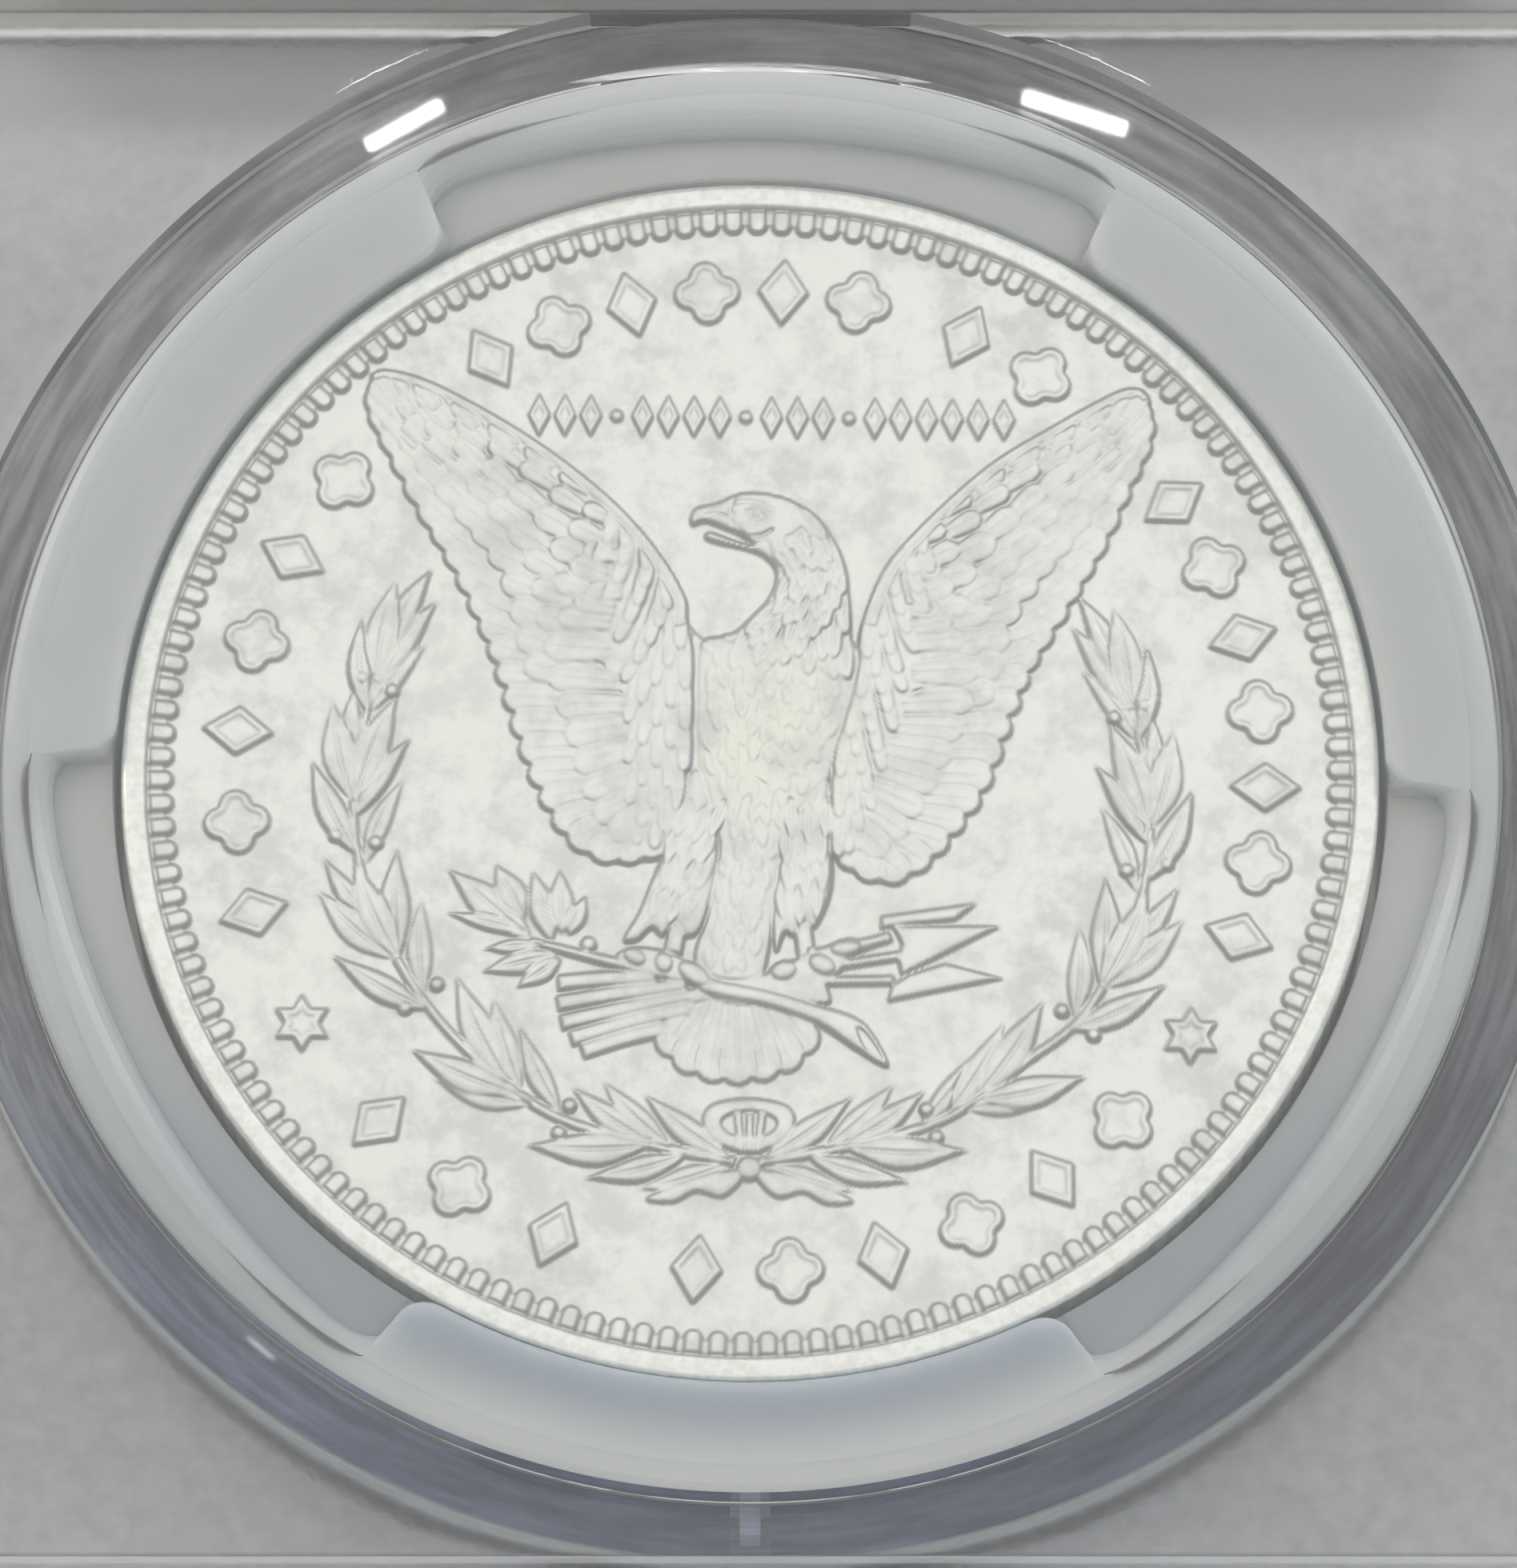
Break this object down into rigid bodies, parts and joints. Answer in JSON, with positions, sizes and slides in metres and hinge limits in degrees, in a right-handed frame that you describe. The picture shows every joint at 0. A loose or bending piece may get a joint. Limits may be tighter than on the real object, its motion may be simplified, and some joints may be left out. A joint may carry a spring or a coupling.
{
  "type": "graded coin slab",
  "caption": "Sealed clear plastic case holding a large silver coin in a soft pronged ring, with a label window above it.",
  "frame": {"origin": "bottom centre of the case, which lies on its front", "axes": "+Z out of the back, which shows the eagle side of the coin; +Y towards the label end; +X across the case"},
  "size_m": [0.0604, 0.0826, 0.008],
  "materials": {
    "clear_case": "clear polished polystyrene, fine grain on the flats",
    "soft_ring": "milky translucent, satin",
    "coin_silver": "bright struck silver with mint lustre",
    "label_card": "printed matt card",
    "hologram_foil": "embossed foil",
    "tag_film": "thin clear film",
    "antenna_foil": "etched foil",
    "chip_plastic": "moulded black"
  },
  "bodies": {
    "case": {"front_shell": "clear_case", "back_shell": "clear_case", "gasket": "soft_ring", "front_label": "label_card", "back_label": "label_card", "hologram_sticker": "hologram_foil", "nfc_film": "tag_film", "nfc_antenna": "antenna_foil", "nfc_chip": "chip_plastic"},
    "coin": {"coin": "coin_silver"}
  },
  "joints": [
    {"name": "coin_turn", "type": "hinge", "parent": "case", "child": "coin", "pos_m": [0, -0.0127, 0.004], "axis": [0, 0, 1], "continuous": true}
  ]
}
